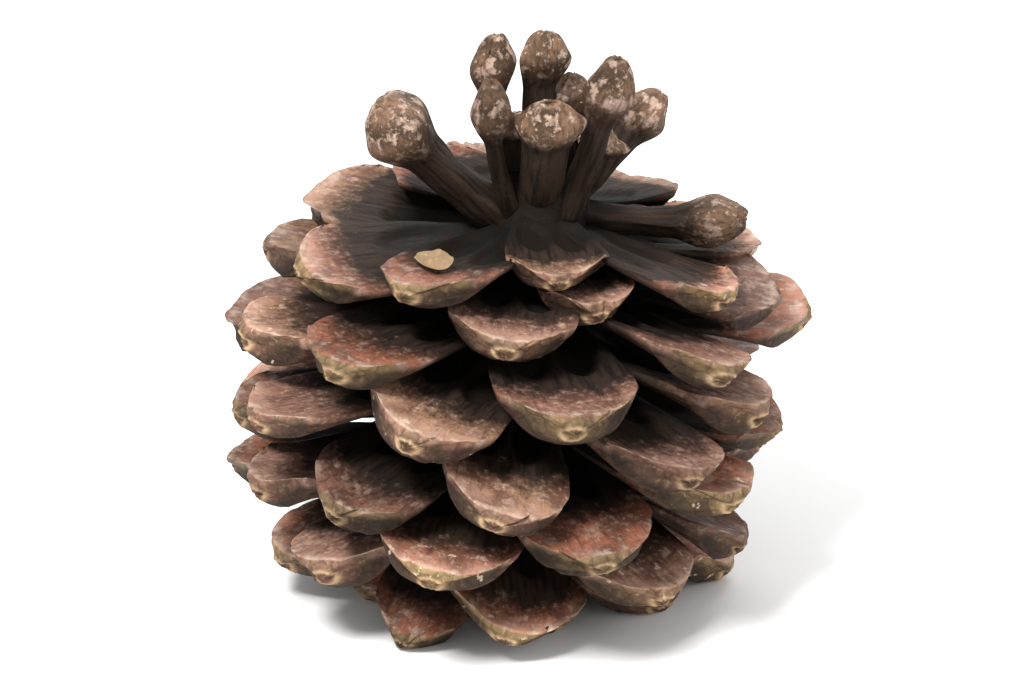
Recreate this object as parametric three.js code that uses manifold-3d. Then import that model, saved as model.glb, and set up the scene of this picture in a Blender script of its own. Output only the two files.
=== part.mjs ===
// A stone pine cone (Pinus pinea), fully open and dry, standing on its base with a slight lean.
// Millimetres, +Z up. The origin is the middle of the broken stalk's face, which rests at z = 0.
//
// The cone grew as one piece: woody scales leave a central spindle on a golden-angle spiral and
// are joined into one solid. Each scale is a tongue with two seed hollows on its upper face and
// a thick outer end (the apophysis) that carries a small boss (the umbo).

import * as THREE from 'three';
import { mergeVertices } from 'three/addons/utils/BufferGeometryUtils.js';
import Module from 'manifold-3d';

// ---- Driving dimensions ----

const SCALE_COUNT = 83;
const GOLDEN_ANGLE = -137.508; // degrees from one scale to the next, clockwise from above
const FIRST_ANGLE = 317.9; // azimuth of the lowest scale
const CONE_HEIGHT = 116;
const LEAN = 7; // degrees that the whole cone leans towards +X on its base
const BEND = 6; // how far the top has grown over towards +X
const SEED = 7; // another whole number gives another cone of the same kind

// The scales from the stalk to the top. Each row: number of the scale, tip radius, tip height,
// root height, half width, thickness of the outer end. The rows between are on straight lines.
const STAGES = [
  [0, 16, 4, 15.5, 6.5, 5.6],
  [4, 26, 0.5, 18, 7.8, 6.0],
  [10, 38, 1, 21.5, 10.8, 6.4],
  [17, 49, 11, 27, 12.8, 6.8],
  [27, 56.5, 27, 37, 13.6, 7.0],
  [40, 58.5, 46, 51.5, 13.8, 7.0],
  [52, 57, 62, 65.5, 13.7, 6.8],
  [61, 51.5, 72.5, 76, 13.0, 6.4],
  [69, 43, 79, 82, 11.8, 6.0],
  [73, 34, 81, 85, 10.0, 5.8],
  [74, 15.5, 109, 80, 5.2, 9.2],
  [80, 11, 112, 87, 5.0, 9.4],
  [82, 6, 110, 91, 4.6, 8.8],
];
// Scales that grew out of their row. Each: added to the tip radius, added to the tip height, share
// of the half width, share of the end's thickness, and how much it is a finger and not a plate
const ODD = {
  58: [-9, 0, 0.9, 1, 0],
  63: [-17, 2, 0.8, 1, 0],
  69: [-10, 26, 0.84, 2.4, 1],
  71: [-7, 0, 0.9, 1, 0],
  73: [8, 11, 0.52, 1.9, 1],
  74: [2.5, 4, 0.95, 1, 1],
  75: [0, -4, 1, 1, 1],
  76: [-5, 8, 1, 1, 1],
  77: [-1, 7.5, 0.9, 1, 1],
  78: [8, -4, 0.95, 1, 1],
  79: [2, -3, 1.6, 0.95, 1],
  80: [0, 4, 1.1, 1, 1],
  81: [-5, -9, 1, 1, 1],
  82: [0, -4, 1, 1, 1],
};
const AS_ITS_ROW = [0, 0, 1, 1, 0];
const TIP_RADIUS = 1;
const TIP_HEIGHT = 2;
const ROOT_HEIGHT = 3;
const HALF_WIDTH = 4;
const END_THICKNESS = 5;

// How far single scales stray from the rule: degrees, millimetres or a share of the size. Skew is
// how far one side of the outer end runs ahead of the other (share of the half width)
const STRAY = {
  azimuth: 3.5, tipRadius: 0.06, tipHeight: 2.8, width: 0.11, thickness: 0.2, twist: 13,
  skew: 0.2,
};

// One scale. Stations run from the root, inside the spindle, to the rim of the outer end.
// Each row: share of the length, share of the half width, how far the sides trail behind the
// middle (share of the half width), height of the rim's lip, thickness (share of the end's)
const STATIONS = [
  [0.00, 0.30, 0.00, 0.0, 0.34],
  [0.50, 0.90, 0.05, 0.0, 0.48],
  [0.82, 1.00, 0.27, 0.1, 0.70],
  [1.00, 0.90, 0.54, 0.6, 0.94],
];
// The same for the fingers at the top: a round shaft under a blunt head
const FINGER_STATIONS = [
  [0.00, 0.60, 0.00, -1.6, 0.72],
  [0.62, 0.64, 0.00, -2.0, 0.74],
  [0.86, 1.00, 0.03, 0.3, 1.00],
  [1.00, 0.80, 0.14, -1.4, 0.82],
];
const UPPER_ACROSS = [-1, -0.42, 0.42, 1]; // places across the upper face, in half widths
const LOWER_ACROSS = [0.8, 0.3, -0.3, -0.8]; // places across the underside
const ROUNDING = 2.1; // how blunt the outer end is at least: 2 is a plain curve, more is blunter
const BLUNTER = 1.7; // how much more that may be on a single scale
const DISH = 1.0; // how far the side edges stand above the middle of the upper face
const BOW = 1.0; // how far the middle of the scale sags below the line from root to tip
const END_FALL = 2.2; // how far the outer end of a scale may curl down, from none to this
const UNDERCUT = 3.4; // how far the lower edge of the outer end lies behind its rim
const SIDE_RISE = 0.5; // how much thinner the underside is towards its sides, as a share
const UMBO_REACH = 0.5; // how far the boss stands out beyond the rim
const HEAD_DOME = 1.7; // how much further it stands out on the rounded head of a finger
const BULGE = 1.0; // how far the outer end is rounded out between its edges and its boss
const ROOT_RADIUS = 3; // the roots start this far from the axis
const END_DROP = 0.7; // how low an outer end hangs below its rim, as a share of its thickness
const CORNER_DROP = 0.2; // how much lower the corner of a twisted end hangs, as a share of its reach
const PRESSED_FLAT = 1.8; // how much is worn off the scales that the cone stands on
const FINEST = 0.01; // where scales meet, nothing finer than this is kept

// The spindle and the broken stalk: radius and height of each turned ring
const SPINDLE_SIDES = 8;
const SPINDLE = [
  [0, 100], [4, 99], [7.5, 93], [9.5, 86], [12.5, 52], [12.5, 30], [12, 17],
  [7.4, 11], [6.6, 5], [7.2, -4], [0, -4],
];

// ---- Rules of growth ----

/** A number from 0 to 1 that depends only on the scale and on what is being varied. */
function draw(scale, subject) {
  const turbulent = Math.sin((scale + SEED) * 12.9898 + subject * 78.233) * 43758.5453;
  return turbulent - Math.floor(turbulent);
}

function spread(scale, subject, reach) {
  return (2 * draw(scale, subject) - 1) * reach;
}

/** Reads one column of STAGES for a scale, on straight lines between its rows. */
function stageAt(index, column) {
  const next = STAGES.findIndex((row) => row[0] >= index);
  if (next <= 0) return STAGES[0][column];
  const [low, high] = [STAGES[next - 1], STAGES[next]];
  const share = (index - low[0]) / (high[0] - low[0]);
  return THREE.MathUtils.lerp(low[column], high[column], share);
}

/** Height of the ground under a place on the straight cone, before it is leaned. */
function groundBelow(x) {
  return x * Math.tan(THREE.MathUtils.degToRad(LEAN));
}

/** Bends the straight cone over, leans it and leaves its stalk face at the origin. */
function settle(point) {
  point.x += BEND * (point.z / CONE_HEIGHT) ** 2;
  return point.applyAxisAngle(new THREE.Vector3(0, 1, 0), THREE.MathUtils.degToRad(LEAN));
}

// ---- Solids ----

const wasm = await Module();
wasm.setup();

/** Turns a closed BufferGeometry into a solid that can be joined and cut. */
function toSolid(geometry) {
  const bare = geometry.clone();
  bare.deleteAttribute('normal');
  bare.deleteAttribute('uv');
  const merged = mergeVertices(bare, 1e-4);
  return new wasm.Manifold(new wasm.Mesh({
    numProp: 3,
    vertProperties: new Float32Array(merged.attributes.position.array),
    triVerts: new Uint32Array(merged.index.array),
  }));
}

/** Keeps the one large outer body of a solid, so no scrap or sealed hollow is left. */
function largestBody(solid) {
  return solid.decompose().reduce((best, piece) => (piece.volume() > best.volume() ? piece : best));
}

function toGeometry(solid) {
  const mesh = solid.getMesh();
  const geometry = new THREE.BufferGeometry();
  geometry.setAttribute('position', new THREE.BufferAttribute(mesh.vertProperties, 3));
  geometry.setIndex(new THREE.BufferAttribute(mesh.triVerts, 1));
  geometry.computeVertexNormals();
  return geometry;
}

/** Closes a stack of equal rings, with a flat first end and a last end drawn to one point. */
function loft(rings, lastPoint) {
  const count = rings[0].length;
  const points = rings.flat().concat([lastPoint]);
  const faces = [];
  for (let ring = 0; ring + 1 < rings.length; ring += 1) {
    for (let k = 0; k < count; k += 1) {
      const a = ring * count + k;
      const b = ring * count + ((k + 1) % count);
      faces.push(a, b + count, b, a, a + count, b + count);
    }
  }
  const lastRing = (rings.length - 1) * count;
  for (let k = 0; k < count; k += 1) {
    faces.push(lastRing + k, points.length - 1, lastRing + ((k + 1) % count));
  }
  for (let k = 1; k + 1 < count; k += 1) faces.push(0, k, k + 1);
  const geometry = new THREE.BufferGeometry();
  geometry.setAttribute('position',
    new THREE.Float32BufferAttribute(points.flatMap((point) => point.toArray()), 3));
  geometry.setIndex(faces);
  return geometry;
}

/** The frame that a scale is drawn in: its root, length and three directions. */
function scaleFrame(index) {
  const azimuth = THREE.MathUtils.degToRad(
    FIRST_ANGLE + index * GOLDEN_ANGLE + spread(index, 1, STRAY.azimuth));
  const out = new THREE.Vector3(Math.cos(azimuth), Math.sin(azimuth), 0);
  const root = out.clone().multiplyScalar(ROOT_RADIUS).setZ(stageAt(index, ROOT_HEIGHT));
  const [longer, higher, narrowing, thickening, finger] = ODD[index] ?? AS_ITS_ROW;
  const fingerlike = Math.max(finger, THREE.MathUtils.smoothstep(index, 71, 75));
  const twist = THREE.MathUtils.degToRad(spread(index, 4, STRAY.twist));
  const halfWidth = stageAt(index, HALF_WIDTH) * narrowing * (1 + spread(index, 5, STRAY.width));
  const thickness = stageAt(index, END_THICKNESS) * thickening
    * (1 + spread(index, 7, STRAY.thickness));
  const fall = END_FALL * draw(index, 6) * (1 - fingerlike);
  const tipRadius = stageAt(index, TIP_RADIUS) * (1 + spread(index, 2, STRAY.tipRadius)) + longer;
  const tipHeight = stageAt(index, TIP_HEIGHT) + higher + spread(index, 3, STRAY.tipHeight);
  const tip = out.clone().multiplyScalar(tipRadius).setZ(tipHeight);
  const drop = END_DROP * thickness + fall + CORNER_DROP * halfWidth * Math.abs(Math.sin(twist));
  tip.z = Math.max(tip.z, groundBelow(tip.x) + drop - PRESSED_FLAT);
  const along = tip.clone().sub(root);
  const reach = UMBO_REACH + HEAD_DOME * fingerlike;
  const length = along.length() - reach;
  along.normalize();
  const across = new THREE.Vector3(-out.y, out.x, 0).applyAxisAngle(along, twist);
  const up = new THREE.Vector3().crossVectors(along, across);
  const skew = spread(index, 8, STRAY.skew) * (1 - fingerlike);
  const rounding = ROUNDING + BLUNTER * draw(index, 10);
  return {
    root, along, across, up, length, reach, halfWidth, thickness, fall, skew, rounding, fingerlike,
  };
}

/** One scale as a closed tongue of eight-sided rings, drawn to a point at the umbo. */
function makeScale(index) {
  const {
    root, along, across, up, length, reach, halfWidth, thickness, fall, skew, rounding, fingerlike,
  } = scaleFrame(index);
  const at = (x, y, z) => root.clone()
    .addScaledVector(along, x).addScaledVector(across, y).addScaledVector(up, z);
  const rings = STATIONS.map((station, k) => {
    const [share, width, trail, lip, thick] = station
      .map((value, column) => THREE.MathUtils.lerp(value, FINGER_STATIONS[k][column], fingerlike));
    const curl = fall * Math.max(0, (share - 0.6) / 0.4) ** 2;
    const sag = -4 * BOW * share * (1 - share) - curl;
    const forward = (v) => share * length
      + (skew * share * share * v - trail * Math.abs(v) ** rounding) * halfWidth;
    const upper = UPPER_ACROSS.map((v) => {
      const dished = THREE.MathUtils.lerp(DISH * v * v, -2.2 * v * v, fingerlike);
      return at(forward(v), width * halfWidth * v, sag + lip + dished * share);
    });
    const lower = LOWER_ACROSS.map((v) => {
      const depth = thick * thickness * (1 - SIDE_RISE * v * v);
      const behind = UNDERCUT * (1 - fingerlike) * THREE.MathUtils.smoothstep(share, 0.8, 1);
      return at(forward(v) - behind, width * halfWidth * v, sag - depth);
    });
    return [...upper, ...lower];
  });
  const umbo = at(length + reach, 0, -0.4 * thickness - fall);
  const rim = rings[rings.length - 1];
  rings.push(rim.map((point) => point.clone().lerp(umbo, 0.42)
    .addScaledVector(along, BULGE)));
  return loft(rings.map((ring) => ring.map(settle)), settle(umbo));
}

function makeSpindle() {
  const outline = SPINDLE.map(([radius, height]) => new THREE.Vector2(radius, height)).reverse();
  const geometry = new THREE.LatheGeometry(outline, SPINDLE_SIDES);
  geometry.rotateX(Math.PI / 2);
  const position = geometry.attributes.position;
  for (let k = 0; k < position.count; k += 1) {
    const point = settle(new THREE.Vector3().fromBufferAttribute(position, k));
    position.setXYZ(k, point.x, point.y, point.z);
  }
  return geometry;
}

function makeCone() {
  const solids = [toSolid(makeSpindle())];
  for (let index = 0; index < SCALE_COUNT; index += 1) solids.push(toSolid(makeScale(index)));
  const joined = wasm.Manifold.union(solids);
  const floor = new THREE.BoxGeometry(300, 300, 60);
  floor.translate(0, 0, -30);
  const standing = joined.subtract(toSolid(floor)).simplify(FINEST);
  return toGeometry(largestBody(standing));
}

const wood = new THREE.MeshStandardMaterial({ color: 0x7a4a36, roughness: 0.62, metalness: 0 });
wood.name = 'cone_wood';
const cone = new THREE.Mesh(makeCone(), wood);
cone.name = 'cone';

const group = new THREE.Group();
group.add(cone);
export default group;
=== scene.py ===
"""A stone pine cone: its fine surface, its woody material, the light and the camera.

The growth rule is the part's own: scales leave a spindle on a golden-angle spiral. Each scale is
drawn again here with many more points, so that its seed hollows, rim, boss and grain are shape.
Sizes are in millimetres until a mesh is made, and the named angles are in degrees.
"""

import math

import bpy
import numpy as np
from mathutils import Matrix, Vector


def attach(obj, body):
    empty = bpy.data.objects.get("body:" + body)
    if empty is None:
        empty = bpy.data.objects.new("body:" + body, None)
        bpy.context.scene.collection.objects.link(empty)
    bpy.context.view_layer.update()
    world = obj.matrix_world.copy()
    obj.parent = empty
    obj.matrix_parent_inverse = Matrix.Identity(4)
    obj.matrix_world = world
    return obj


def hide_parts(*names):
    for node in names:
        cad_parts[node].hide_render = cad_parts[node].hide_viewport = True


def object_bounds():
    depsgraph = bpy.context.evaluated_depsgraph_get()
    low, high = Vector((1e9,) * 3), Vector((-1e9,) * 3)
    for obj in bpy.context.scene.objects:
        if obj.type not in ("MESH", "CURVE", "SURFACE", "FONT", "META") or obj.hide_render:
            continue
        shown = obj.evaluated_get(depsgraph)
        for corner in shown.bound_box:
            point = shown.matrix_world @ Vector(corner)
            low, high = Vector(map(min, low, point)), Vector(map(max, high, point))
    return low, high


MM = 0.001

# ---- The cone's rule, as in the part ----

SCALE_COUNT = 83
GOLDEN_ANGLE = -137.508  # from one scale to the next, clockwise from above
FIRST_ANGLE = 317.9  # azimuth of the lowest scale
CONE_HEIGHT = 116
LEAN = 7  # how far the whole cone leans towards +X on its base
BEND = 6  # how far the top has grown over towards +X
SEED = 7
# number of the scale, tip radius, tip height, root height, half width, thickness of the outer end
STAGES = np.array([
    [0, 16, 4, 15.5, 6.5, 5.6],
    [4, 26, 0.5, 18, 7.8, 6.0],
    [10, 38, 1, 21.5, 10.8, 6.4],
    [17, 49, 11, 27, 12.8, 6.8],
    [27, 56.5, 27, 37, 13.6, 7.0],
    [40, 58.5, 46, 51.5, 13.8, 7.0],
    [52, 57, 62, 65.5, 13.7, 6.8],
    [61, 51.5, 72.5, 76, 13.0, 6.4],
    [69, 43, 79, 82, 11.8, 6.0],
    [73, 34, 81, 85, 10.0, 5.8],
    [74, 15.5, 109, 80, 5.2, 9.2],
    [80, 11, 112, 87, 5.0, 9.4],
    [82, 6, 110, 91, 4.6, 8.8],
])
TIP_RADIUS, TIP_HEIGHT, ROOT_HEIGHT, HALF_WIDTH, END_THICKNESS = 1, 2, 3, 4, 5  # its columns
# scales out of their row: added to the tip radius, added to the tip height, share of the half
# width, share of the end's thickness, how much it is a finger and not a plate
ODD = {
    58: (-9, 0, 0.9, 1, 0),
    63: (-17, 2, 0.8, 1, 0),
    69: (-10, 26, 0.84, 2.4, 1),
    71: (-7, 0, 0.9, 1, 0),
    73: (8, 11, 0.52, 1.9, 1),
    74: (2.5, 4, 0.95, 1, 1),
    75: (0, -4, 1, 1, 1),
    76: (-5, 8, 1, 1, 1),
    77: (-1, 7.5, 0.9, 1, 1),
    78: (8, -4, 0.95, 1, 1),
    79: (2, -3, 1.6, 0.95, 1),
    80: (0, 4, 1.1, 1, 1),
    81: (-5, -9, 1, 1, 1),
    82: (0, -4, 1, 1, 1),
}
AS_ITS_ROW = (0, 0, 1, 1, 0)
LAST_PLATE, ALL_FINGERS = 71, 75  # between these two the rows turn from plates to fingers
# how far single scales stray from their row
STRAY = {
    "azimuth": 3.5, "tip_radius": 0.06, "tip_height": 2.8, "width": 0.11,
    "thickness": 0.2, "twist": 13, "skew": 0.2,
}
# share of the length, share of the half width, trail of the sides, lip, thickness
STATIONS = np.array([
    [0.00, 0.30, 0.00, 0.0, 0.34],
    [0.50, 0.90, 0.05, 0.0, 0.48],
    [0.82, 1.00, 0.27, 0.1, 0.70],
    [1.00, 0.90, 0.54, 0.6, 0.94],
])
# the same for the fingers at the top
FINGER_STATIONS = np.array([
    [0.00, 0.60, 0.00, -1.6, 0.72],
    [0.62, 0.64, 0.00, -2.0, 0.74],
    [0.86, 1.00, 0.03, 0.3, 1.00],
    [1.00, 0.80, 0.14, -1.4, 0.82],
])
ROUNDING = 2.1  # how blunt the outer end is at least: 2 is a plain curve, more is blunter
BLUNTER = 1.7  # how much more that may be on a single scale
DISH = 1.0  # how far the side edges of a plate stand above the middle of its upper face
BOW = 1.0  # how far the middle of a scale sags below the line from root to tip
END_FALL = 2.2  # how far the outer end of a plate may curl down, from none to this
CURL_FROM = 0.6  # share of the length from which it curls
UNDERCUT = 3.4  # how far the lower edge of a plate's outer end lies behind its rim
SIDE_RISE = 0.5  # how much thinner the underside is towards its sides, as a share
UMBO_REACH = 0.5  # how far the boss stands out beyond the rim
HEAD_DOME = 1.7  # how much further it stands out on the rounded head of a finger
BULGE = 1.0  # how far the outer end is rounded out between its edges and its boss
ROOT_RADIUS = 3  # the roots start this far from the axis
END_DROP = 0.7  # how low an outer end hangs below its rim, as a share of its thickness
CORNER_DROP = 0.2  # how much lower a twisted end's corner hangs, as a share of its reach
PRESSED_FLAT = 1.8  # how much is worn off the scales that the cone stands on
# radius and height of the spindle's outline
SPINDLE = np.array([
    [0, 100], [4, 99], [7.5, 93], [9.5, 86], [12.5, 52], [12.5, 30], [12, 17],
    [7.4, 11], [6.6, 5], [7.2, 0],
])

# ---- The fine relief, which only this drawing has ----

SIDE_WAVE = 0.02  # how far the side edges wander, as a share of the half width
FINGER_CROWN = 2.2  # how far the upper face of a finger falls to its sides
RIM_WEAR = 0.35  # how far the rim is worn back on average
SPLITS, SPLIT_CHANCE = 2, 0.55  # most splits in a rim, and how likely each is
SPLIT_DEPTH, SPLIT_DEEPER = 0.5, 1.1  # a split's least depth and what chance may add
SPLIT_ASIDE, SPLIT_WIDTH = 0.75, 0.045  # as shares of the half width
HOLLOW_ALONG, HOLLOW_ASIDE = 0.44, 0.35  # middle of a seed hollow: share of length, half width
HOLLOW_LENGTH, HOLLOW_WIDTH = 0.205, 0.33  # its half sizes, as the same shares
HOLLOW_DEPTH = 1.7
HOLLOW_LIMIT = 0.45  # it takes at most this share of the scale's thickness
RIB_HEIGHT = 0.11
LUMP_HEIGHT, FINGER_LUMPS = 0.25, 0.35  # on every scale, and what a finger adds
RIM_HEIGHT, RIM_WAVE, RIM_WIDTH = 0.25, 0.2, 1.3  # the raised line along a plate's rim
GRAIN_HEIGHT, KNOB_HEIGHT = 0.12, 0.4  # of the underside, the second on fingers only
EDGE_FALL = 0.35  # how far the side edges are rounded down
UMBO_LOW = 0.4  # how far the umbo lies below the rim, as a share of the end's thickness
UMBO_ASIDE = 0.14  # and how far it may lie to one side, as a share of the half width
FLATTER = 1.35  # how much flatter than a circle the boss is
RING_RADIUS, RING_WIDTH = 2.3, 0.55  # the ring round the boss
BOSS_HEIGHT, BOSS_WIDTH = 0.4, 1.1
WRINKLES, WRINKLE_HEIGHT, WRINKLE_REACH = 9, 0.18, 5.0  # they spread from the boss
KEEL_HEIGHT, KEEL_WIDTH = 0.30, 0.9  # the line across the outer end
ROUGH_HEIGHT = 0.2
HEAD_DIMPLE = 1.2  # how far the middle of a finger's head is drawn in
TIP_STANDS, TIP_SINKS = 0.16, 1.4  # how far an end's last point stands out, less on a finger
SPINDLE_WEAR, SPINDLE_RIBS, SPINDLE_LUMPS = 0.6, 0.35, 0.25

# ---- What sets single scales apart for the material ----

DARK_SHARE, DARK_STRAY, DARK_HIGHER = 0.79, 0.06, 0.04  # share of the length painted black, partly soot and partly shade, more on top
HIGHER_FROM, HIGHER_TO = 55, 69  # between these two the black share of soot and painted shade grows to its most
HUE_BY_HEIGHT = 0.3  # share of a scale's hue that its height sets and not chance
MIDDLE_UMBO = 0.25  # how pale an end's last point is
# how far apart the scales, the spindle and the seed wing lie in the space of the material's noise
GRAIN_COLUMNS, GRAIN_APART_Y, GRAIN_APART_Z = 9, 40, 30
SPINDLE_GRAIN, WING_GRAIN = 500, 700

# ---- A scrap of seed wing that lies on one of the upper scales ----

WING_SCALE = 66
WING_LENGTH, WING_WIDTH, WING_THICKNESS = 9.5, 6, 0.5
WING_INSET, WING_ASIDE, WING_LIFT = 11.0, -2.0, 0.8  # its middle, seen from the scale's rim
WING_TURN, WING_TIP = 68, 13  # how far it is turned on the scale and tipped down to the rim
WING_TAPER, WING_RAGGED = 0.6, 0.2  # as shares of its width
WING_CURL, WING_BOW, WING_WAVE = 0.17, 0.03, 0.25  # across it, along it and uneven

# ---- How finely it is drawn ----

FAMILIES = 8  # the scales are kept in this many spiral rows, one mesh for each
UPPER_POINTS = 41  # across a scale's upper face, both edges counted
LOWER_POINTS = 27  # across its underside, both edges left out
UPPER_CROWDING, LOWER_CROWDING = 0.45, 0.55  # how much they crowd towards the edges
BODY_RINGS = 46  # from the root to the rim
ROOT_RINGS, ROOT_SHARE = 4, 0.22  # those in the root, which the spindle and others hide
RIM_CROWDING = 0.82  # a power under 1 brings the rings closer together at the rim
FACE_RINGS = 15  # from the rim to the umbo
FACE_CROWDING = 0.9  # the same at the umbo
RINGS = BODY_RINGS + FACE_RINGS
RING_POINTS = UPPER_POINTS + LOWER_POINTS
SPINDLE_SIDES = 96
SPINDLE_STEP = 0.9  # from ring to ring along the spindle's outline
WING_SIDES, WING_RINGS = 24, 21
NOISE_LATTICE = 97  # cells before the noise repeats
BOX_GAP = 0.02  # how far the drawing stays inside the part's own box

# How a family's scales are laid out in its texture map: tiles of one scale each
MAP_COLUMNS, MAP_ROWS = 4, 3
MAP_MARGIN = 0.012
ROOT_PATCH, PATCH_GAP = 0.05, 0.03  # a tile's height kept for the root's end, and above it
# A tube's map: its side above this height, and its two ends as discs below
TUBE_FLOOR = 0.1
DISC_RADIUS, BOTTOM_DISC, TOP_DISC = 0.04, (0.05, 0.045), (0.15, 0.045)

TURNED_OVER = [0, 3, 2, 1]  # a quad's corners the other way round
MASKS = ("along", "across", "under", "face", "hollow", "finger", "tone", "hue", "dark_to", "umbo")


def draw(index, subject):
    """A number from 0 to 1 that depends only on the scale and on what is being varied."""
    turbulent = math.sin((index + SEED) * 12.9898 + subject * 78.233) * 43758.5453
    return turbulent - math.floor(turbulent)


def spread(index, subject, reach):
    return (2 * draw(index, subject) - 1) * reach


def stage_at(index, column):
    return float(np.interp(index, STAGES[:, 0], STAGES[:, column]))


def smoothstep(x, low, high):
    x = np.clip((np.asarray(x, float) - low) / (high - low), 0, 1)
    return x * x * (3 - 2 * x)


def smooth_through(x, xs, ys):
    """A smooth curve through the points (xs, ys) that doesn't overshoot between them."""
    step = np.diff(xs)
    slope = np.diff(ys) / step
    inner = np.where(slope[:-1] * slope[1:] > 0,
                     2 * slope[:-1] * slope[1:] / (slope[:-1] + slope[1:] + 1e-12), 0)
    tangent = np.concatenate([[slope[0]], inner, [slope[-1]]])
    k = np.clip(np.searchsorted(xs, x) - 1, 0, len(step) - 1)
    t = (x - xs[k]) / step[k]
    h = step[k]
    return (ys[k] * (1 + 2 * t) * (1 - t) ** 2 + tangent[k] * h * t * (1 - t) ** 2
            + ys[k + 1] * t * t * (3 - 2 * t) + tangent[k + 1] * h * t * t * (t - 1))


def noise(x, y, cell_x, cell_y, seed):
    """Smooth noise from -1 to 1 over a plane, with cells of the given size. Each use has a seed."""
    size = NOISE_LATTICE
    lattice = np.random.default_rng(seed).uniform(-1, 1, (size, size))
    u, v = np.asarray(x) / cell_x + 41.3, np.asarray(y) / cell_y + 37.7
    iu, iv = np.floor(u).astype(int), np.floor(v).astype(int)
    fu, fv = u - iu, v - iv
    fu, fv = fu * fu * (3 - 2 * fu), fv * fv * (3 - 2 * fv)
    a = lattice[iu % size, iv % size]
    b = lattice[(iu + 1) % size, iv % size]
    c = lattice[iu % size, (iv + 1) % size]
    d = lattice[(iu + 1) % size, (iv + 1) % size]
    return (a * (1 - fu) + b * fu) * (1 - fv) + (c * (1 - fu) + d * fu) * fv


def bell(x, middle, width):
    return np.exp(-((x - middle) / width) ** 2)


def crowded(places, share):
    """Places from -1 to 1, moved towards both ends."""
    return (1 - share) * places + share * np.sin(places * math.pi / 2)


def rotated(points, degrees, axis):
    return points @ np.array(Matrix.Rotation(math.radians(degrees), 3, axis)).T


def settle(points):
    """Bends the straight cone over and leans it, with its stalk face at the origin."""
    bent = np.array(points)
    bent[:, 0] += BEND * (bent[:, 2] / CONE_HEIGHT) ** 2
    return rotated(bent, LEAN, "Y")


# ---- One scale ----

def scale_form(index):
    """Where a scale is drawn: its root, three directions and sizes."""
    azimuth = math.radians(
        FIRST_ANGLE + index * GOLDEN_ANGLE + spread(index, 1, STRAY["azimuth"]))
    out = np.array([math.cos(azimuth), math.sin(azimuth), 0])
    root = out * ROOT_RADIUS + [0, 0, stage_at(index, ROOT_HEIGHT)]
    longer, higher, narrowing, thickening, finger = ODD.get(index, AS_ITS_ROW)
    fingerlike = max(finger, float(smoothstep(index, LAST_PLATE, ALL_FINGERS)))
    tip_radius = stage_at(index, TIP_RADIUS) * (1 + spread(index, 2, STRAY["tip_radius"]))
    tip_radius += longer
    tip_height = stage_at(index, TIP_HEIGHT) + higher + spread(index, 3, STRAY["tip_height"])
    twist = math.radians(spread(index, 4, STRAY["twist"]))
    half_width = stage_at(index, HALF_WIDTH) * (1 + spread(index, 5, STRAY["width"]))
    half_width *= narrowing
    fall = END_FALL * draw(index, 6) * (1 - fingerlike)
    thickness = stage_at(index, END_THICKNESS) * (1 + spread(index, 7, STRAY["thickness"]))
    thickness *= thickening
    drop = END_DROP * thickness + fall + CORNER_DROP * half_width * abs(math.sin(twist))
    ground = out[0] * tip_radius * math.tan(math.radians(LEAN))
    tip_height = max(tip_height, ground + drop - PRESSED_FLAT)
    along = out * tip_radius + [0, 0, tip_height] - root
    length = float(np.linalg.norm(along))
    along = along / length
    side = np.array([-out[1], out[0], 0])
    across = side * math.cos(twist) + np.cross(along, side) * math.sin(twist)
    reach = UMBO_REACH + HEAD_DOME * fingerlike
    return {
        "root": root, "directions": np.array([along, across, np.cross(along, across)]),
        "length": length - reach, "reach": reach, "half_width": half_width,
        "thickness": thickness, "fall": fall, "fingerlike": fingerlike,
        "skew": spread(index, 8, STRAY["skew"]) * (1 - fingerlike),
        "rounding": ROUNDING + BLUNTER * draw(index, 10),
    }


def on_the_cone(scale, local):
    """Moves points from a scale's own x along it, y across it and z up to the leaning cone."""
    return settle(scale["root"] + local @ scale["directions"])


def ring_places():
    """Places round a ring: v across the scale, and whether each is on the underside."""
    upper = crowded(np.linspace(-1, 1, UPPER_POINTS), UPPER_CROWDING)
    lower = crowded(np.linspace(1, -1, LOWER_POINTS + 2)[1:-1], LOWER_CROWDING)
    under = np.concatenate([np.zeros(UPPER_POINTS), np.ones(LOWER_POINTS)])
    return np.concatenate([upper, lower]), under


def body_places():
    """Places along a scale: few in the hidden root, close together at the rim."""
    root = np.linspace(0, ROOT_SHARE, ROOT_RINGS, endpoint=False)
    blade = np.linspace(0, 1, BODY_RINGS - ROOT_RINGS) ** RIM_CROWDING
    return np.concatenate([root, ROOT_SHARE + (1 - ROOT_SHARE) * blade])


def rim_damage(index, v, share):
    """How far the rim is worn back: a slow wave and up to two small splits."""
    worn = RIM_WEAR * (1 + noise(v * 12, 0 * v, 5, 5, 1000 + index))
    for k in range(SPLITS):
        if draw(index, 30 + k) > 1 - SPLIT_CHANCE:
            place = spread(index, 32 + k, SPLIT_ASIDE)
            depth = SPLIT_DEPTH + SPLIT_DEEPER * draw(index, 34 + k)
            worn = worn + depth * bell(v, place, SPLIT_WIDTH)
    return worn * smoothstep(share, 0.80, 1.0)


def seed_hollows(scale, share, aside):
    """1 in the two hollows where the seeds lay, 0 outside them and on fingers."""
    along = (share - HOLLOW_ALONG) / HOLLOW_LENGTH
    across = (np.abs(aside) - HOLLOW_ASIDE) / HOLLOW_WIDTH
    oval = np.sqrt(along ** 2 + across ** 2 + 1e-9)
    broad = smoothstep(scale["half_width"] / scale["length"], 0.1, 0.2)
    return (1 - smoothstep(oval, 0.62, 1.08)) * broad * (1 - scale["fingerlike"])


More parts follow.
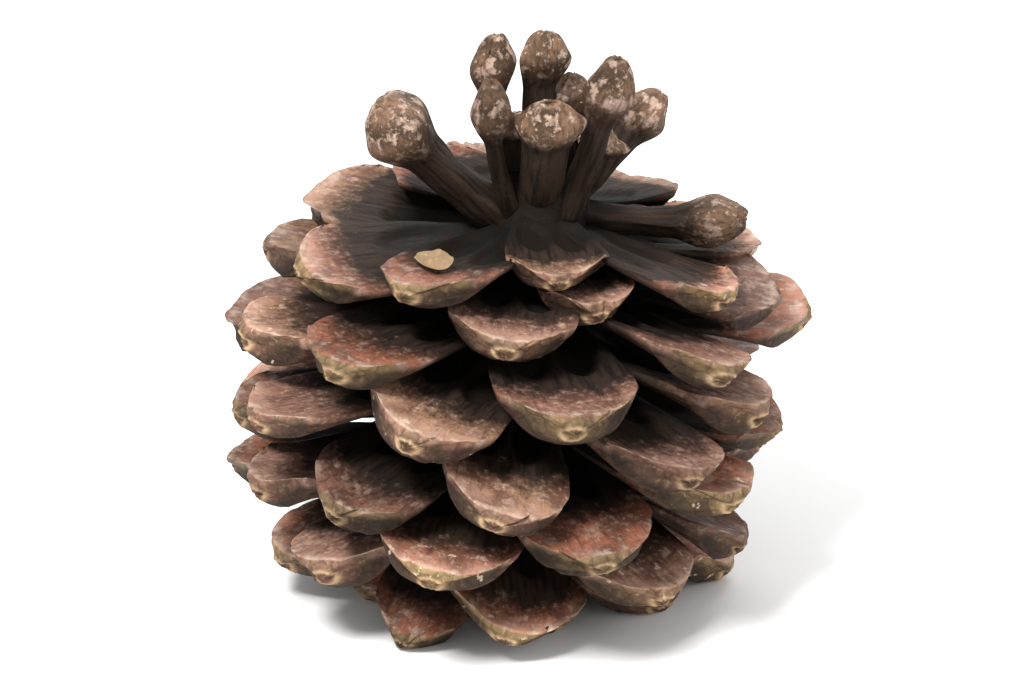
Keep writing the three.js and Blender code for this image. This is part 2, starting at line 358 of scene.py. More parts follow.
def upper_relief(index, scale, share, v, x, y):
    """Long ribs, lumps and a raised, wavy line along the rim."""
    finger = scale["fingerlike"]
    ribs = noise(x, y, 14, 1.1, 3000 + index) + 0.6 * noise(x, y, 9, 0.6, 3500 + index)
    lumps = noise(x, y, 6, 5, 4000 + index)
    rough = RIB_HEIGHT * ribs + (LUMP_HEIGHT + FINGER_LUMPS * finger) * lumps
    rim = RIM_HEIGHT + RIM_WAVE * noise(v * scale["half_width"], v * 0, 2.1, 2.1, 4500 + index)
    rim_line = rim * bell((1 - share) * scale["length"], 0, RIM_WIDTH) * (1 - finger)
    return rough * smoothstep(share, 0.1, 0.4) + rim_line


def lower_relief(index, scale, x, y):
    """Long grain on the underside, and knobs on the fingers."""
    grain = noise(x, y, 12, 1.1, 5000 + index) + noise(x, y, 7, 4, 5500 + index)
    knobs = noise(x, y, 4.5, 3.5, 5700 + index) * scale["fingerlike"]
    return GRAIN_HEIGHT * grain + KNOB_HEIGHT * knobs


def scale_body(index, scale, share, v, under):
    """The tongue itself, from the root to the rim, in the scale's own x, y, z, and its hollows."""
    length, half, finger = scale["length"], scale["half_width"], scale["fingerlike"]
    stations = STATIONS + (FINGER_STATIONS - STATIONS) * finger
    width, trail, lip, depth = (
        smooth_through(share, stations[:, 0], stations[:, k]) for k in (1, 2, 3, 4))
    depth = depth * scale["thickness"]
    curl = scale["fall"] * np.maximum(0, (share - CURL_FROM) / (1 - CURL_FROM)) ** 2
    sag = -4 * BOW * share * (1 - share) - curl
    trailing = trail * np.abs(v) ** scale["rounding"]
    x = share * length + (scale["skew"] * share ** 2 * v - trailing) * half
    wave = 1 + SIDE_WAVE * noise(share * length, np.sign(v) * 9, 7, 7, 2000 + index)
    y = width * half * v * wave
    dished = sag + lip + (DISH * (1 - finger) - FINGER_CROWN * finger) * v * v * share

    hollow = seed_hollows(scale, share, v * width)
    deep = np.minimum(HOLLOW_DEPTH, HOLLOW_LIMIT * depth)
    upper_z = dished - deep * hollow + upper_relief(index, scale, share, v, x, y)

    edge = (1 - np.abs(v) ** 8) ** 0.5
    keel = depth * (1 - SIDE_RISE * v * v)
    lower_z = dished - (keel + dished - sag + lower_relief(index, scale, x, y)) * edge
    behind = UNDERCUT * (1 - finger) * smoothstep(share, 0.8, 1) * edge
    rounded = EDGE_FALL * smoothstep(np.abs(v), 0.88, 1.0) * smoothstep(share, 0.1, 0.3)

    z = np.where(under > 0, lower_z, upper_z) - rounded
    x = np.where(under > 0, x - behind, x) - rim_damage(index, v, share)
    return np.column_stack([x, y, z]), hollow * (1 - under)


def umbo_place(index, scale):
    """The middle of the boss, a little to one side on most scales."""
    aside = spread(index, 12, UMBO_ASIDE) * scale["half_width"]
    height = -UMBO_LOW * scale["thickness"] - scale["fall"]
    return np.array([scale["length"] + scale["reach"], aside, height])


def scale_face(index, scale, rim, inward):
    """The thick outer end, drawn in from the rim to the umbo, with its boss and wrinkles."""
    centre = umbo_place(index, scale)
    inward = inward[:, None]
    from_rim = rim[None, :, :]
    points = from_rim + (centre - from_rim) * inward[..., None]
    points[..., 0] += BULGE * 4 * inward * (1 - inward)
    y, z = points[..., 1] - centre[1], points[..., 2] - centre[2]
    away = np.sqrt(y ** 2 + (z * FLATTER) ** 2)
    spokes = WRINKLES * np.arctan2(z, y) + 3 * draw(index, 9)
    wrinkles = np.cos(spokes) * np.exp(-away / WRINKLE_REACH)
    keel = bell(z, 0, KEEL_WIDTH) * smoothstep(away, 1.5, 3.5) * (1 - smoothstep(away, 8, 12))
    rough = noise(y, z, 2.6, 2.0, 6000 + index) + 0.7 * noise(y, z, 1.2, 1.0, 6500 + index)
    relief = WRINKLE_HEIGHT * wrinkles + KEEL_HEIGHT * keel + ROUGH_HEIGHT * (rough - 1)
    points[..., 0] += relief * smoothstep(1 - inward, 0.0, 0.08) * smoothstep(inward, 0, 0.12)
    near_umbo = smoothstep(inward, 0.3, 0.6)
    ring = bell(away, RING_RADIUS, RING_WIDTH)
    boss = (bell(away, 0, BOSS_WIDTH) + 0.8 * ring - 0.6) * (1 - 0.8 * scale["fingerlike"])
    points[..., 0] += BOSS_HEIGHT * boss * near_umbo
    points[..., 0] -= HEAD_DIMPLE * scale["fingerlike"] * inward ** 3
    return points.reshape(-1, 3), (ring * near_umbo).ravel()


def even_masks(count, **values):
    """Masks with one value all over a piece, and 0 where none is given."""
    return {mask: np.full(count, float(values.get(mask, 0))) for mask in MASKS}


def make_scale(index):
    """All points of one scale on the cone, with what its material reads."""
    scale = scale_form(index)
    v, under = ring_places()
    share = np.repeat(body_places(), RING_POINTS)
    body_v, body_under = np.tile(v, BODY_RINGS), np.tile(under, BODY_RINGS)
    body, hollow = scale_body(index, scale, share, body_v, body_under)
    inward = np.linspace(0, 1, FACE_RINGS + 2)[1:-1] ** FACE_CROWDING
    face, umbo = scale_face(index, scale, body[-RING_POINTS:], inward)
    tip = umbo_place(index, scale) + [TIP_STANDS - TIP_SINKS * scale["fingerlike"], 0, 0]
    local = np.concatenate([body, face, [tip]])
    on_body, on_face = np.zeros(len(body)), np.zeros(len(face))
    higher = smoothstep(index, HIGHER_FROM, HIGHER_TO)
    masks = even_masks(
        len(local),
        finger=scale["fingerlike"],
        tone=draw(index, 20),
        hue=(1 - HUE_BY_HEIGHT) * draw(index, 21) + HUE_BY_HEIGHT * index / SCALE_COUNT,
        dark_to=DARK_SHARE + spread(index, 22, DARK_STRAY) + DARK_HIGHER * higher,
    )
    masks["along"] = np.concatenate([share, on_face + 1, [1]])
    masks["across"] = np.concatenate([body_v, np.tile(v, FACE_RINGS), [0]])
    masks["under"] = np.concatenate([body_under, np.tile(under, FACE_RINGS), [0]])
    masks["face"] = np.concatenate([on_body, np.repeat(inward, RING_POINTS), [1]])
    masks["hollow"] = np.concatenate([hollow, on_face, [0]])
    masks["umbo"] = np.concatenate([on_body, umbo, [MIDDLE_UMBO]])
    row, column = divmod(index, GRAIN_COLUMNS)
    grain = local + [0, GRAIN_APART_Y * column, GRAIN_APART_Z * row]
    return on_the_cone(scale, local), masks, grain


# ---- Faces and their texture maps ----

def band_quads(rings, sides):
    """Quads between neighbouring rings of points."""
    ring, k = (grid.ravel() for grid in np.indices((rings - 1, sides)))
    a = ring * sides + k
    b = ring * sides + (k + 1) % sides
    return np.column_stack([a, b, b + sides, a + sides])


def band_map(rings, sides, floor):
    """Map places of the corners of band_quads: a grid above the given height of the map."""
    ring, k = (grid.ravel() for grid in np.indices((rings - 1, sides)))
    left, right = k / sides, (k + 1) / sides
    low = floor + (1 - floor) * ring / rings
    high = floor + (1 - floor) * (ring + 1) / rings
    return np.stack([
        np.column_stack([left, low]), np.column_stack([right, low]),
        np.column_stack([right, high]), np.column_stack([left, high])], axis=1)


def joined(*maps):
    return np.concatenate([places.reshape(-1, 2) for places in maps])


def scale_faces():
    """Faces of a scale: bands of quads, a fan at the umbo and a fan that closes the root."""
    k = np.arange(RING_POINTS)
    last = (RINGS - 1) * RING_POINTS
    tip = np.column_stack([
        last + k, np.full(RING_POINTS, RINGS * RING_POINTS), last + (k + 1) % RING_POINTS])
    root = np.column_stack([np.zeros(RING_POINTS - 2, int), k[1:-1], k[2:]])
    return band_quads(RINGS, RING_POINTS)[:, TURNED_OVER], np.concatenate([tip, root])


def scale_map(tile):
    """Map places of a scale's face corners, in the order of scale_faces, within one tile."""
    floor = ROOT_PATCH + PATCH_GAP
    quads = band_map(RINGS, RING_POINTS, floor)[:, TURNED_OVER]
    k = np.arange(RING_POINTS)
    low = np.full(RING_POINTS, 1 - (1 - floor) / RINGS)
    tip = np.stack([
        np.column_stack([k / RING_POINTS, low]),
        np.column_stack([(k + 0.5) / RING_POINTS, np.ones(RING_POINTS)]),
        np.column_stack([(k + 1) / RING_POINTS, low])], axis=1)
    turn = 2 * math.pi * k / RING_POINTS
    circle = 0.5 * ROOT_PATCH * np.column_stack([1 - np.cos(turn), 1 + np.sin(turn)])
    root = np.stack([np.tile(circle[:1], (RING_POINTS - 2, 1)), circle[1:-1], circle[2:]], axis=1)
    corner = np.array([tile % MAP_COLUMNS, tile // MAP_COLUMNS])
    size = np.array([1 / MAP_COLUMNS, 1 / MAP_ROWS])
    return (corner + MAP_MARGIN + joined(quads, tip, root) * (1 - 2 * MAP_MARGIN)) * size


def tube_faces(rings, sides):
    """Faces of a closed tube: bands of quads and a fan at each end, whose middles come last."""
    k = np.arange(sides)
    next_k = (k + 1) % sides
    last = (rings - 1) * sides
    bottom = np.column_stack([np.full(sides, rings * sides), next_k, k])
    top = np.column_stack([np.full(sides, rings * sides + 1), last + k, last + next_k])
    return band_quads(rings, sides), np.concatenate([bottom, top])


def tube_map(rings, sides):
    """Map places of a tube's face corners, in the order of tube_faces."""
    k = np.arange(sides)
    turn = 2 * math.pi * k / sides
    rim = DISC_RADIUS * np.column_stack([np.cos(turn), np.sin(turn)])
    disc = np.stack([np.zeros_like(rim), rim[(k + 1) % sides], rim], axis=1)
    bottom, top = disc + BOTTOM_DISC, disc[:, [0, 2, 1]] + TOP_DISC
    return joined(band_map(rings, sides, TUBE_FLOOR), bottom, top)


# ---- Meshes ----

class Patchwork:
    """Collects points, faces, masks and map places until they become one mesh."""

    def __init__(self, name):
        self.name = name
        self.points, self.quads, self.triangles, self.grain = [], [], [], []
        self.quad_map, self.triangle_map = [], []
        self.masks = {mask: [] for mask in MASKS}
        self.count = 0

    def add(self, points, masks, grain, faces, places):
        quads, triangles = faces
        self.points.append(points)
        self.grain.append(grain)
        self.quads.append(quads + self.count)
        self.triangles.append(triangles + self.count)
        self.quad_map.append(places[:quads.size])
        self.triangle_map.append(places[quads.size:])
        for mask in MASKS:
            self.masks[mask].append(masks[mask])
        self.count += len(points)

    def box(self):
        points = np.concatenate(self.points)
        return points.min(axis=0), points.max(axis=0)

    def build(self, squeeze, material):
        """Makes the closed mesh, seated in the part's own box, and says what it stands for."""
        mesh = bpy.data.meshes.new(self.name)
        points = squeeze(np.concatenate(self.points)) * MM
        quads, triangles = np.concatenate(self.quads), np.concatenate(self.triangles)
        corners = np.concatenate([quads.ravel(), triangles.ravel()]).astype(np.int32)
        sizes = np.concatenate([np.full(len(quads), 4), np.full(len(triangles), 3)])
        starts = np.concatenate([[0], np.cumsum(sizes)[:-1]]).astype(np.int32)
        mesh.vertices.add(len(points))
        mesh.vertices.foreach_set("co", points.astype(np.float32).ravel())
        mesh.loops.add(len(corners))
        mesh.loops.foreach_set("vertex_index", corners)
        mesh.polygons.add(len(sizes))
        mesh.polygons.foreach_set("loop_start", starts)
        mesh.update(calc_edges=True)
        mesh.polygons.foreach_set("use_smooth", np.ones(len(sizes), bool))
        for mask, values in self.masks.items():
            layer = mesh.attributes.new(mask, "FLOAT", "POINT")
            layer.data.foreach_set("value", np.concatenate(values).astype(np.float32))
        layer = mesh.attributes.new("grain", "FLOAT_VECTOR", "POINT")
        layer.data.foreach_set("vector", np.concatenate(self.grain).astype(np.float32).ravel())
        places = np.concatenate(self.quad_map + self.triangle_map)
        layer = mesh.uv_layers.new(name="OFBake")
        layer.data.foreach_set("uv", places.astype(np.float32).ravel())
        piece = bpy.data.objects.new(self.name, mesh)
        bpy.context.scene.collection.objects.link(piece)
        piece.data.materials.append(material)
        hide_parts("cone")
        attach(piece, "root")


def family_patchwork(family):
    """Every scale of one spiral row."""
    patchwork = Patchwork(f"scales_{family + 1}")
    faces = scale_faces()
    for tile, index in enumerate(range(family, SCALE_COUNT, FAMILIES)):
        points, masks, grain = make_scale(index)
        patchwork.add(points, masks, grain, faces, scale_map(tile))
    return patchwork


def spindle_patchwork():
    """The spindle that the scales grow from and the broken stalk under it."""
    outline = SPINDLE[::-1]
    walked = np.concatenate([[0], np.cumsum(np.linalg.norm(np.diff(outline, axis=0), axis=1))])
    steps = np.arange(0, walked[-1], SPINDLE_STEP)
    ring_radius = np.interp(steps, walked, outline[:, 0])
    ring_height = np.interp(steps, walked, outline[:, 1])
    turn = np.tile(np.linspace(0, 2 * math.pi, SPINDLE_SIDES, endpoint=False), len(steps))
    radius = np.repeat(ring_radius, SPINDLE_SIDES)
    height = np.repeat(ring_height, SPINDLE_SIDES)
    aside = np.abs(turn - math.pi) * 9  # mirrored, so that the noise has no seam
    worn = (SPINDLE_WEAR + SPINDLE_RIBS * noise(height, aside, 9, 1.6, 71)
            + SPINDLE_LUMPS * noise(height, aside, 3, 4, 72))
    radius = np.maximum(radius - worn * smoothstep(radius, 0.5, 3), 0.2)
    side = np.column_stack([radius * np.cos(turn), radius * np.sin(turn), height])
    points = np.concatenate([side, [[0, 0, height[0]], [0, 0, height[-1]]]])
    masks = even_masks(len(points), tone=0.3, hue=0.5, dark_to=0.7, under=1)
    patchwork = Patchwork("spindle")
    patchwork.add(settle(points), masks, points[:, [2, 0, 1]] + [0, 0, SPINDLE_GRAIN],
                  tube_faces(len(steps), SPINDLE_SIDES), tube_map(len(steps), SPINDLE_SIDES))
    return patchwork


def seed_wing_patchwork():
    """A thin, curled scrap of seed wing, with one end against the scale that it lies on."""
    turn, walk = (grid.ravel() for grid in np.meshgrid(
        np.linspace(0, 2 * math.pi, WING_SIDES, endpoint=False),
        np.linspace(0, math.pi, WING_RINGS + 2)[1:-1]))
    x = -0.5 * WING_LENGTH * np.cos(walk)
    ragged = WING_RAGGED * noise(x, np.sign(np.cos(turn)) * 5, 1.3, 3, 81)
    breadth = WING_WIDTH * (1 + WING_TAPER * x / WING_LENGTH + ragged)
    y = 0.5 * breadth * np.sin(walk) * np.cos(turn)
    z = 0.5 * WING_THICKNESS * np.sin(walk) * np.sin(turn)
    ends = 0.5 * WING_LENGTH * np.array([[-1, 0, 0], [1, 0, 0]])
    wing = np.concatenate([np.column_stack([x, y, z]), ends])
    wing[:, 2] += (WING_CURL * wing[:, 1] ** 2 + WING_BOW * wing[:, 0] ** 2
                   + WING_WAVE * noise(wing[:, 0], wing[:, 1], 2.2, 2.2, 82))
    scale = scale_form(WING_SCALE)
    share = np.array([1 - WING_INSET / scale["length"]])
    v = np.array([WING_ASIDE / scale["half_width"]])
    bed, _ = scale_body(WING_SCALE, scale, share, v, np.zeros(1))
    local = rotated(rotated(wing, WING_TURN, "Z"), WING_TIP, "Y") + bed + [0, 0, WING_LIFT]
    masks = even_masks(len(wing), tone=0.25, hue=0.2, face=1, umbo=0.55)
    patchwork = Patchwork("seed_wing")
    patchwork.add(on_the_cone(scale, local), masks, wing + [0, 0, WING_GRAIN],
                  tube_faces(WING_RINGS, WING_SIDES), tube_map(WING_RINGS, WING_SIDES))
    return patchwork


def squeezer(patchworks, cad_box):
    """A function that seats points in the part's own box and keeps the ground at height 0."""
    boxes = [patchwork.box() for patchwork in patchworks]
    low = np.min([box[0] for box in boxes], axis=0)
    high = np.max([box[1] for box in boxes], axis=0)
    low[2] = 0
    cad_low, cad_high = np.array(cad_box) / MM
    new_low = np.maximum(low, cad_low + BOX_GAP)
    new_high = np.minimum(high, cad_high - BOX_GAP)
    new_low[2] = 0

    def squeeze(points):
        seated = new_low + (points - low) * (new_high - new_low) / (high - low)
        seated[:, 2] = np.maximum(seated[:, 2], 0)
        return seated

    return squeeze


# ---- Materials ----

def colour(red, green, blue):
    """A colour given as it looks on a screen, 0 to 255, as linear light."""
    return tuple(
        (c / 255 / 12.92 if c <= 10 else ((c / 255 + 0.055) / 1.055) ** 2.4)
        for c in (red, green, blue)) + (1,)


# The outer zone of the upper face
RED_BROWN = colour(146, 90, 68)
MAUVE_BROWN = colour(134, 100, 86)
TAN_BROWN = colour(148, 116, 90)
DARK_BLOTCH = colour(90, 61, 49)
PALE_BLOTCH = colour(172, 142, 126)
DARK_STREAK = colour(76, 52, 43)
DARK_SPOT = colour(84, 56, 46)
PALE_FLECK = colour(196, 166, 144)
# paler towards the rim: a painted highlight
RIM_ZONE_HIGHLIGHT = colour(176, 138, 120)
# the rim line: partly worn wood, partly a painted highlight
WORN_RIM_AND_HIGHLIGHT = colour(190, 166, 148)
# Its inner part: black, partly soot and partly painted shade
SOOT_AND_SHADE_BROWN = colour(50, 38, 31)
SOOT_AND_SHADE = colour(24, 19, 16)
DEEPER_SOOT_AND_SHADE = colour(25, 20, 16)
HOLLOW_SOOT_AND_SHADE = colour(24, 19, 15)
GREY_DUST = colour(84, 70, 60)
# The thick outer end
OLIVE_END = colour(122, 102, 72)
MAUVE_END = colour(116, 84, 71)
# painted highlights along the top of the outer end
OLIVE_HIGHLIGHT = colour(176, 150, 106)
MAUVE_HIGHLIGHT = colour(170, 134, 114)
END_BLOTCH = colour(86, 68, 52)
END_FLECK = colour(164, 138, 106)
END_SPOT = colour(58, 45, 36)
END_CRACK = colour(50, 38, 31)
# painted shade along the lower edge of the outer end
LOWER_EDGE_SHADE = colour(40, 32, 28)
UMBO_TAN = colour(190, 160, 124)
# The underside
DULL_BROWN = colour(76, 57, 46)
DARK_GRAIN = colour(46, 35, 28)
DEEP_SHADE = colour(30, 24, 18)
# The fingers
HEAD_BROWN = colour(120, 93, 74)
HEAD_DARK = colour(70, 54, 40)
HEAD_PALE = colour(196, 168, 150)
HEAD_STREAK = colour(60, 46, 36)
HEAD_FLECK = colour(214, 196, 178)
HEAD_CRACK = colour(44, 34, 29)
HEAD_UMBO = colour(160, 132, 108)
# their shafts: painted shade, dark brown to black
SHADED_SHAFT_BROWN = colour(50, 38, 29)
SHADED_SHAFT_DARK = colour(28, 22, 17)
# All over
SCRAPS = colour(204, 188, 168)
# each scale is multiplied by a tone between these two
DARKEST_TONE, PALEST_TONE = (0.66, 0.66, 0.66, 1), (1.25, 1.22, 1.2, 1)

OLIVE_TO_MAUVE = (0.35, 0.55)  # the hues between which the outer ends change colour


class Nodes:
    """Short calls for the few kinds of shader node that the materials use."""

    def __init__(self, name):
        self.material = bpy.data.materials.new(name)
        self.material.use_nodes = True
        self.tree = self.material.node_tree
        self.shader = self.tree.nodes["Principled BSDF"]

    def add(self, kind, **settings):
        node = self.tree.nodes.new(kind)
        for key, value in settings.items():
            setattr(node, key, value)
        return node

    def link(self, value, socket):
        if hasattr(value, "is_output"):
            self.tree.links.new(value, socket)
        else:
            socket.default_value = value

    def mask(self, name):
        return self.add("ShaderNodeAttribute", attribute_name=name).outputs["Fac"]

    def math(self, operation, a, b=0.5, clamp=False):
        node = self.add("ShaderNodeMath", operation=operation, use_clamp=clamp)
        self.link(a, node.inputs[0])
        self.link(b, node.inputs[1])
        return node.outputs[0]

    def times(self, first, *others):
        for other in others:
            first = self.math("MULTIPLY", first, other)
        return first

    def plus(self, first, *others):
        for other in others:
            first = self.math("ADD", first, other)
        return first

    def ramp(self, value, low, high):
        node = self.add("ShaderNodeMapRange", interpolation_type="SMOOTHSTEP", clamp=True)
        self.link(value, node.inputs["Value"])
        self.link(low, node.inputs["From Min"])
        self.link(high, node.inputs["From Max"])
        return node.outputs["Result"]

    def inverse(self, value):
        return self.math("SUBTRACT", 1.0, value)

    def swing(self, value, reach):
        """The value's swing about one half, made larger or smaller."""
        return self.times(self.math("SUBTRACT", value, 0.5), reach)

    def mix(self, share, a, b, mode="MIX"):
        node = self.add("ShaderNodeMix", data_type="RGBA", blend_type=mode, clamp_factor=True)
        self.link(share, node.inputs["Factor"])
        self.link(a, node.inputs["A"])
        self.link(b, node.inputs["B"])
        return node.outputs["Result"]

    def over(self, base, tint, share, *where):
        """The base with a tint laid over it, at most by the share, where all masks are high."""
        return self.mix(self.times(*where, share), base, tint)

    def stretched(self, place, size, stretch):
        mapping = self.add("ShaderNodeMapping")
        self.link(place, mapping.inputs["Vector"])
        mapping.inputs["Scale"].default_value = [1 / (size * s) for s in stretch]
        return mapping.outputs["Vector"]

    def noise(self, place, size, detail=4.0, stretch=(1, 1, 1), roughness=0.55):
        """Noise with features of the given size in millimetres, in the scale's own frame."""
        node = self.add("ShaderNodeTexNoise")
        self.link(self.stretched(place, size, stretch), node.inputs["Vector"])
        node.inputs["Scale"].default_value = 1
        node.inputs["Detail"].default_value = detail
        node.inputs["Roughness"].default_value = roughness
        return node.outputs["Fac"]

    def cracks(self, place, size, stretch=(1, 1, 1)):
        """0 on the lines of an irregular net, rising to 1 within its cells."""
        node = self.add("ShaderNodeTexVoronoi", feature="DISTANCE_TO_EDGE")
        self.link(self.stretched(place, size, stretch), node.inputs["Vector"])
        node.inputs["Scale"].default_value = 1
        return self.ramp(node.outputs["Distance"], 0.0, 0.12)


class Wood(Nodes):
    """The dry wood of the cone: the masks of its meshes and the noise that its zones share."""

    def __init__(self):
        super().__init__("cone_wood")
        self.place = self.add("ShaderNodeAttribute", attribute_name="grain").outputs["Vector"]
        self.along, self.across = self.mask("along"), self.mask("across")
        self.under, self.face = self.mask("under"), self.mask("face")
        self.hollow, self.umbo = self.mask("hollow"), self.mask("umbo")
        self.tone, self.hue = self.mask("tone"), self.mask("hue")
        self.finger, self.dark_to = self.mask("finger"), self.mask("dark_to")
        self.mottle = self.noise(self.place, 6, 5)
        self.blotch = self.noise(self.place, 3, 4, roughness=0.6)
        self.fine = self.noise(self.place, 1.3, 6, roughness=0.65)
        self.streak = self.noise(self.place, 1.0, 5, stretch=(10, 1, 1))
        self.speck = self.noise(self.place, 0.4, 3)
        self.net = self.cracks(self.place, 3.2, (1.6, 1, 1))
        corners = self.math("POWER", self.math("ABSOLUTE", self.across), 4.0)
        uneven = self.plus(
            self.along, self.swing(self.mottle, 0.3), self.swing(self.streak, 0.16),
            self.swing(self.fine, 0.2), self.times(corners, 0.05))
        self.past_dark = self.math("SUBTRACT", uneven, self.dark_to)  # 0 where the soot and painted shade end


def outer_zone_look(w):
    """The upper face's outer zone: red-brown, mauve-brown or tan, as each scale has it."""
    look = w.mix(w.ramp(w.hue, 0.28, 0.46), RED_BROWN, MAUVE_BROWN)
    look = w.mix(w.ramp(w.hue, 0.62, 0.82), look, TAN_BROWN)
    look = w.over(look, DARK_BLOTCH, 0.85, w.ramp(w.mottle, 0.42, 0.6))
    look = w.over(look, PALE_BLOTCH, 0.65, w.ramp(w.blotch, 0.5, 0.68))
    look = w.over(look, DARK_STREAK, 0.75, w.ramp(w.streak, 0.5, 0.7))
    look = w.over(look, DARK_SPOT, 0.55, w.ramp(w.fine, 0.46, 0.34))
    look = w.over(look, PALE_FLECK, 0.55, w.ramp(w.fine, 0.55, 0.72))
    # paler towards the rim: a painted highlight on the lit outer ends
    return w.over(look, RIM_ZONE_HIGHLIGHT, 0.6, w.ramp(w.along, 0.84, 1.0),
                  w.ramp(w.mottle, 0.7, 0.4), w.ramp(w.tone, 0.0, 0.6))


def upper_face_look(w):
    """The outer zone; black further in, partly soot and partly painted shade; and a pale line along
    the rim, partly worn wood and partly a painted highlight.
    """
    # black within: partly soot, partly painted shade between the scales
    inner = w.mix(w.ramp(w.streak, 0.38, 0.66), SOOT_AND_SHADE_BROWN, SOOT_AND_SHADE)
    inner = w.over(inner, GREY_DUST, 0.35, w.ramp(w.fine, 0.55, 0.8))
    # darker still towards the core, a painted shade
    inner = w.mix(w.ramp(w.along, 0.7, 0.4), inner, DEEPER_SOOT_AND_SHADE)
    look = w.mix(w.ramp(w.past_dark, -0.08, 0.10), inner, outer_zone_look(w))
    # the seed hollows painted black: soot and painted shade
    look = w.mix(w.times(w.hollow, w.ramp(w.fine, 0.2, 0.5)), look, HOLLOW_SOOT_AND_SHADE)
    # a pale line along the rim: partly worn wood, partly a painted highlight where the rim catches
    # the light
    rim = w.ramp(w.plus(w.along, w.swing(w.fine, 0.09)), 0.92, 1.01)
    return w.over(look, WORN_RIM_AND_HIGHLIGHT, 0.65, rim, w.ramp(w.blotch, 0.42, 0.62), w.inverse(w.finger))


def outer_end_look(w):
    """Olive-brown or mauve-brown, with painted shade towards the lower edge, a painted highlight
    along the top and a pale umbo.
    """
    look = w.mix(w.ramp(w.hue, *OLIVE_TO_MAUVE), OLIVE_END, MAUVE_END)
    look = w.mix(w.ramp(w.mottle, 0.42, 0.6), look, END_BLOTCH)
    look = w.over(look, END_FLECK, 0.65, w.ramp(w.fine, 0.5, 0.7))
    look = w.over(look, END_SPOT, 0.4, w.ramp(w.fine, 0.44, 0.32))
    # a painted highlight along the upper part of the outer end
    top_highlight = w.mix(w.ramp(w.hue, *OLIVE_TO_MAUVE), OLIVE_HIGHLIGHT, MAUVE_HIGHLIGHT)
    look = w.over(look, top_highlight, 0.4, w.ramp(w.face, 0.6, 0.05), w.inverse(w.under),
                  w.ramp(w.blotch, 0.35, 0.6))
    look = w.over(look, END_CRACK, 0.4, w.inverse(w.net))
    # painted shade where the outer end turns under
    lower_edge_shade = w.times(w.under, w.inverse(w.face))
    look = w.over(look, LOWER_EDGE_SHADE, 0.85, w.ramp(lower_edge_shade, 0.05, 0.9))
    return w.over(look, UMBO_TAN, 0.85, w.umbo)


def underside_look(w):
    """Dull brown near the rim, black further in."""
    look = w.mix(w.ramp(w.streak, 0.4, 0.7), DULL_BROWN, DARK_GRAIN)
    return w.mix(w.ramp(w.along, 0.85, 0.4), look, DEEP_SHADE)


def finger_look(w):
    """A grey-brown head with pale patches, on a shaft painted dark as the shade under the heads."""
    head = w.mix(w.ramp(w.mottle, 0.38, 0.58), HEAD_BROWN, HEAD_DARK)
    head = w.over(head, HEAD_PALE, 0.7, w.ramp(w.blotch, 0.5, 0.62))
    head = w.over(head, HEAD_STREAK, 0.65, w.ramp(w.streak, 0.45, 0.68))
    head = w.over(head, HEAD_FLECK, 0.65, w.ramp(w.fine, 0.57, 0.7))
    head = w.over(head, HEAD_CRACK, 0.2, w.inverse(w.net))
    head = w.over(head, HEAD_UMBO, 0.5, w.umbo)
    # the shaft painted dark as the shade under the heads, the head further out
    shaded_shaft = w.mix(w.ramp(w.streak, 0.4, 0.65), SHADED_SHAFT_BROWN, SHADED_SHAFT_DARK)
    uneven = w.plus(w.along, w.swing(w.mottle, 0.25))
    return w.mix(w.ramp(uneven, 0.66, 0.88), shaded_shaft, head)


def make_wood():
    """Joins the looks of the zones, and adds the gloss of dry resin and the finest relief."""
    w = Wood()
    look = w.mix(w.under, upper_face_look(w), underside_look(w))
    look = w.mix(w.ramp(w.face, 0.02, 0.12), look, outer_end_look(w))
    look = w.mix(w.ramp(w.finger, 0.3, 0.8), look, finger_look(w))
    scraps = w.ramp(w.noise(w.place, 2.6, 4), 0.64, 0.68)
    look = w.over(look, SCRAPS, 0.6, scraps, w.ramp(w.along, 0.78, 0.93),
                  w.ramp(w.tone, 0.45, 0.9))
    look = w.mix(1.0, look, w.mix(w.tone, DARKEST_TONE, PALEST_TONE), mode="MULTIPLY")
    w.link(look, w.shader.inputs["Base Color"])
    w.shader.inputs["Specular IOR Level"].default_value = 0.12

    resin = w.times(w.ramp(w.past_dark, -0.05, 0.15), w.ramp(w.blotch, 0.35, 0.6),
                    w.inverse(w.under))
    dull = w.plus(0.56, w.times(w.fine, 0.3))
    roughness = w.math("SUBTRACT", dull, w.times(resin, 0.26), clamp=True)
    w.link(roughness, w.shader.inputs["Roughness"])

    bump = w.add("ShaderNodeBump")
    bump.inputs["Strength"].default_value = 0.7
    bump.inputs["Distance"].default_value = 0.5 * MM
    height = w.plus(w.times(w.streak, 0.55), w.times(w.fine, 0.6), w.times(w.speck, 0.25),
                    w.times(w.net, w.ramp(w.along, 0.6, 0.95), 0.25))
    w.link(height, bump.inputs["Height"])
    w.link(bump.outputs["Normal"], w.shader.inputs["Normal"])
    return w.material


# ---- Floor, light and camera, in metres ----

FLOOR_HALF, FLOOR_DROP = 3.0, 0.0002
FLOOR_WHITE = (0.84, 0.84, 0.84, 1)
SKY_STRENGTH = 0.78
LIT_POINT = (0, 0, 0.05)
# each lamp's place, the side of its square and its power in watts
LAMPS = {
    "key": ((-0.3, -0.5, 0.85), 0.25, 12.8),
    "fill": ((0.7, -0.45, 0.4), 0.6, 2),
    "back": ((0.15, 0.6, 0.6), 0.5, 4),
}
CAMERA_AIM, CAMERA_DISTANCE, CAMERA_ELEVATION = (0.007, 0, 0.052), 0.95, 21
CAMERA_LENS, CAMERA_SENSOR = 165, 36  # millimetres
CAMERA_FAR = 20


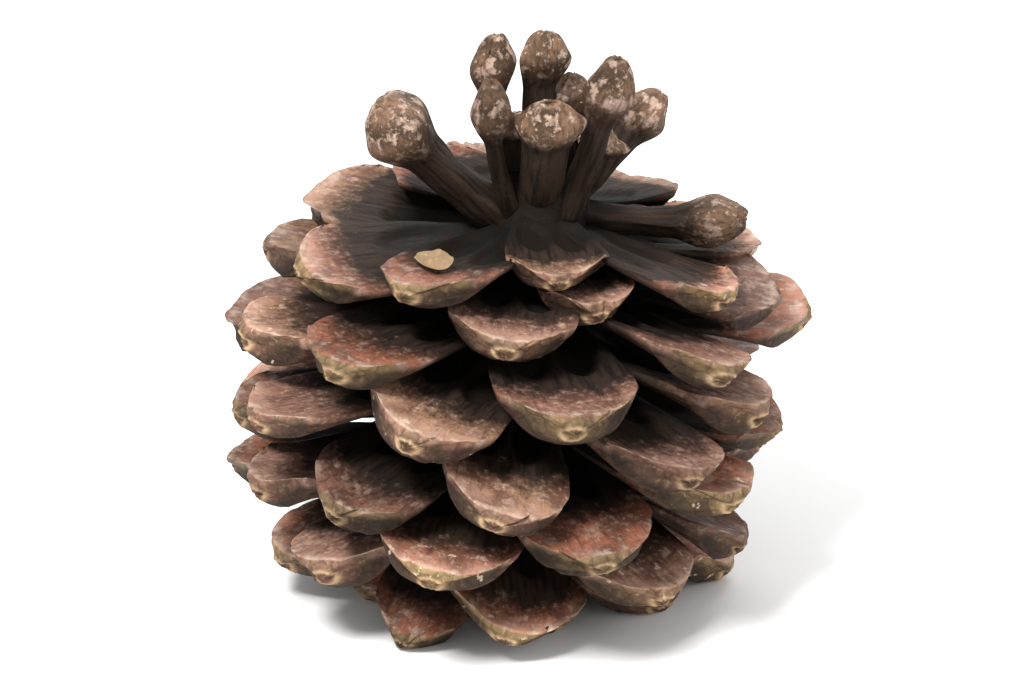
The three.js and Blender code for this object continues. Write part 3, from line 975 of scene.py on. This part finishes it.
def make_stage():
    """A plain pale floor that runs far past the view."""
    corners = [(x * FLOOR_HALF, y * FLOOR_HALF, 0) for x, y in ((-1, -1), (1, -1), (1, 1), (-1, 1))]
    mesh = bpy.data.meshes.new("floor")
    mesh.from_pydata(corners, [], [(0, 1, 2, 3)])
    floor = bpy.data.objects.new("floor", mesh)
    floor.location.z = -FLOOR_DROP
    bpy.context.scene.collection.objects.link(floor)
    n = Nodes("floor")
    n.shader.inputs["Base Color"].default_value = FLOOR_WHITE
    n.shader.inputs["Roughness"].default_value = 0.9
    floor.data.materials.append(n.material)


def facing(place, aim):
    """The turn that makes a lamp or a camera look at a point."""
    return (Vector(aim) - Vector(place)).to_track_quat("-Z", "Y").to_euler()


def make_lights():
    """Soft studio light: a lamp above and in front on the left, weak ones right and behind."""
    world = bpy.data.worlds.new("studio")
    world.use_nodes = True
    sky = world.node_tree.nodes["Background"]
    sky.inputs["Color"].default_value = (1, 1, 1, 1)
    sky.inputs["Strength"].default_value = SKY_STRENGTH
    bpy.context.scene.world = world
    for name, (place, size, power) in LAMPS.items():
        data = bpy.data.lights.new(name, "AREA")
        data.shape = "SQUARE"
        data.size = size
        data.energy = power
        lamp = bpy.data.objects.new(name, data)
        lamp.location = place
        lamp.rotation_euler = facing(place, LIT_POINT)
        bpy.context.scene.collection.objects.link(lamp)


def make_camera():
    """Looks along +Y and down on the upper faces of the scales, with a long lens."""
    elevation = math.radians(CAMERA_ELEVATION)
    data = bpy.data.cameras.new("camera")
    data.sensor_width = CAMERA_SENSOR
    data.lens = CAMERA_LENS
    data.clip_end = CAMERA_FAR
    camera = bpy.data.objects.new("camera", data)
    back = Vector((0, -math.cos(elevation), math.sin(elevation)))
    camera.location = Vector(CAMERA_AIM) + CAMERA_DISTANCE * back
    camera.rotation_euler = facing(camera.location, CAMERA_AIM)
    bpy.context.scene.collection.objects.link(camera)
    bpy.context.scene.camera = camera


def plain(bounds):
    return [[float(c) for c in corner] for corner in bounds]


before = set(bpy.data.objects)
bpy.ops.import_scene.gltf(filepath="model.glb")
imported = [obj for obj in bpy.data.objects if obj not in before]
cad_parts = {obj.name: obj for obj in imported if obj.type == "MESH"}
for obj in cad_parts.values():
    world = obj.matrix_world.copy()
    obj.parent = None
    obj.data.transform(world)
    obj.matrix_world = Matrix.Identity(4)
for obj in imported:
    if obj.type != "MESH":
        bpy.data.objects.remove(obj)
cad_box = plain(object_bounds())
bpy.context.scene.view_settings.view_transform = "Standard"
make_stage()
make_lights()
make_camera()
wood = make_wood()
patchworks = [family_patchwork(family) for family in range(FAMILIES)]
patchworks += [spindle_patchwork(), seed_wing_patchwork()]
squeeze = squeezer(patchworks, cad_box)
for patchwork in patchworks:
    patchwork.build(squeeze, wood)
